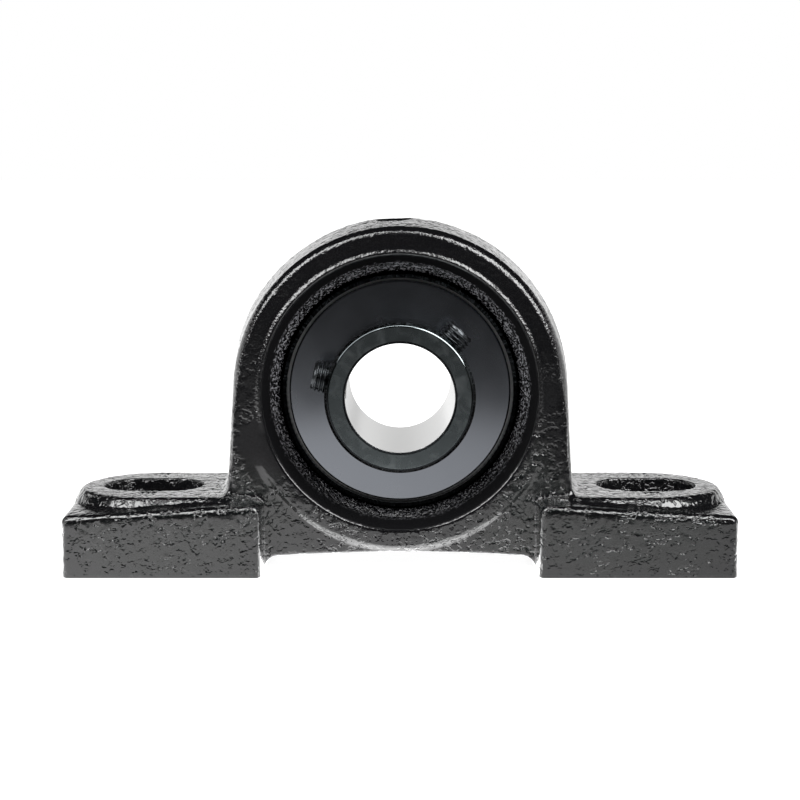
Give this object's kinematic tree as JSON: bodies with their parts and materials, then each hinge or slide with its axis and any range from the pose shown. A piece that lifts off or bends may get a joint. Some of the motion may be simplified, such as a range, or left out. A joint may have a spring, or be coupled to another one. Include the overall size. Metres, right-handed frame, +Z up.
{
  "type": "pillow block bearing",
  "caption": "Cast pillow block with slotted feet and a self-aligning ball bearing insert, locked to its shaft by set screws.",
  "frame": {"origin": "middle of the base's underside, on the bearing's centre plane", "axes": "+X along the base through both bolt slots; +Y along the shaft, from the set-screw end to the back; +Z up, away from the surface it is bolted to"},
  "size_m": [0.125, 0.038, 0.0654],
  "materials": {
    "enamelled_iron": "gloss",
    "black_oxide_steel": "satin",
    "black_oxide_sheet": "polished",
    "black_screw_steel": "satin",
    "pressed_cage_steel": "satin",
    "plated_shield_steel": "satin",
    "seal_rubber": "matte",
    "ball_steel": "polished"
  },
  "bodies": {
    "housing": {"housing": "enamelled_iron"},
    "outer_ring": {"outer_ring": "black_oxide_steel", "front_seal_shield": "plated_shield_steel", "front_seal_lip": "seal_rubber", "rear_seal_shield": "plated_shield_steel", "rear_seal_lip": "seal_rubber"},
    "inner_ring": {"inner_ring": "black_oxide_steel", "front_flinger": "black_oxide_sheet", "rear_flinger": "black_oxide_sheet"},
    "set_screw_left": {"set_screw_left": "black_screw_steel"},
    "set_screw_right": {"set_screw_right": "black_screw_steel"},
    "cage": {"cage_front_half": "pressed_cage_steel", "cage_rear_half": "pressed_cage_steel", "cage_rivets": "pressed_cage_steel"},
    "ball_1": {"ball_1": "ball_steel"},
    "ball_2": {"ball_2": "ball_steel"},
    "ball_3": {"ball_3": "ball_steel"},
    "ball_4": {"ball_4": "ball_steel"},
    "ball_5": {"ball_5": "ball_steel"},
    "ball_6": {"ball_6": "ball_steel"},
    "ball_7": {"ball_7": "ball_steel"},
    "ball_8": {"ball_8": "ball_steel"}
  },
  "joints": [
    {"name": "insert_align", "type": "hinge", "parent": "housing", "child": "outer_ring", "pos_m": [0, 0, 0.0333], "axis": [1, 0, 0], "range_deg": [-2, 2]},
    {"name": "inner_ring_spin", "type": "hinge", "parent": "outer_ring", "child": "inner_ring", "pos_m": [0, 0, 0.0333], "axis": [0, 1, 0], "continuous": true},
    {"name": "cage_spin", "type": "hinge", "parent": "outer_ring", "child": "cage", "pos_m": [0, 0, 0.0333], "axis": [0, 1, 0], "continuous": true},
    {"name": "set_screw_left_travel", "type": "slide", "parent": "inner_ring", "child": "set_screw_left", "axis": [-0.9744, 0, 0.225], "range_m": [-0.0004, 0.002]},
    {"name": "set_screw_right_travel", "type": "slide", "parent": "inner_ring", "child": "set_screw_right", "axis": [0.682, 0, 0.7314], "range_m": [-0.0004, 0.002]},
    {"name": "ball_1_spin", "type": "hinge", "parent": "cage", "child": "ball_1", "pos_m": [0.01675, 0, 0.0333], "axis": [0, 1, 0], "continuous": true},
    {"name": "ball_2_spin", "type": "hinge", "parent": "cage", "child": "ball_2", "pos_m": [0.01184, 0, 0.04514], "axis": [0, 1, 0], "continuous": true},
    {"name": "ball_3_spin", "type": "hinge", "parent": "cage", "child": "ball_3", "pos_m": [0, 0, 0.05005], "axis": [0, 1, 0], "continuous": true},
    {"name": "ball_4_spin", "type": "hinge", "parent": "cage", "child": "ball_4", "pos_m": [-0.01184, 0, 0.04514], "axis": [0, 1, 0], "continuous": true},
    {"name": "ball_5_spin", "type": "hinge", "parent": "cage", "child": "ball_5", "pos_m": [-0.01675, 0, 0.0333], "axis": [0, 1, 0], "continuous": true},
    {"name": "ball_6_spin", "type": "hinge", "parent": "cage", "child": "ball_6", "pos_m": [-0.01184, 0, 0.02146], "axis": [0, 1, 0], "continuous": true},
    {"name": "ball_7_spin", "type": "hinge", "parent": "cage", "child": "ball_7", "pos_m": [0, 0, 0.01655], "axis": [0, 1, 0], "continuous": true},
    {"name": "ball_8_spin", "type": "hinge", "parent": "cage", "child": "ball_8", "pos_m": [0.01184, 0, 0.02146], "axis": [0, 1, 0], "continuous": true}
  ],
  "couplings": [
    {"joint": "cage_spin", "follows": "inner_ring_spin", "ratio": 0.38152},
    {"joint": "ball_1_spin", "follows": "inner_ring_spin", "ratio": -1.9916},
    {"joint": "ball_2_spin", "follows": "inner_ring_spin", "ratio": -1.9916},
    {"joint": "ball_3_spin", "follows": "inner_ring_spin", "ratio": -1.9916},
    {"joint": "ball_4_spin", "follows": "inner_ring_spin", "ratio": -1.9916},
    {"joint": "ball_5_spin", "follows": "inner_ring_spin", "ratio": -1.9916},
    {"joint": "ball_6_spin", "follows": "inner_ring_spin", "ratio": -1.9916},
    {"joint": "ball_7_spin", "follows": "inner_ring_spin", "ratio": -1.9916},
    {"joint": "ball_8_spin", "follows": "inner_ring_spin", "ratio": -1.9916}
  ]
}
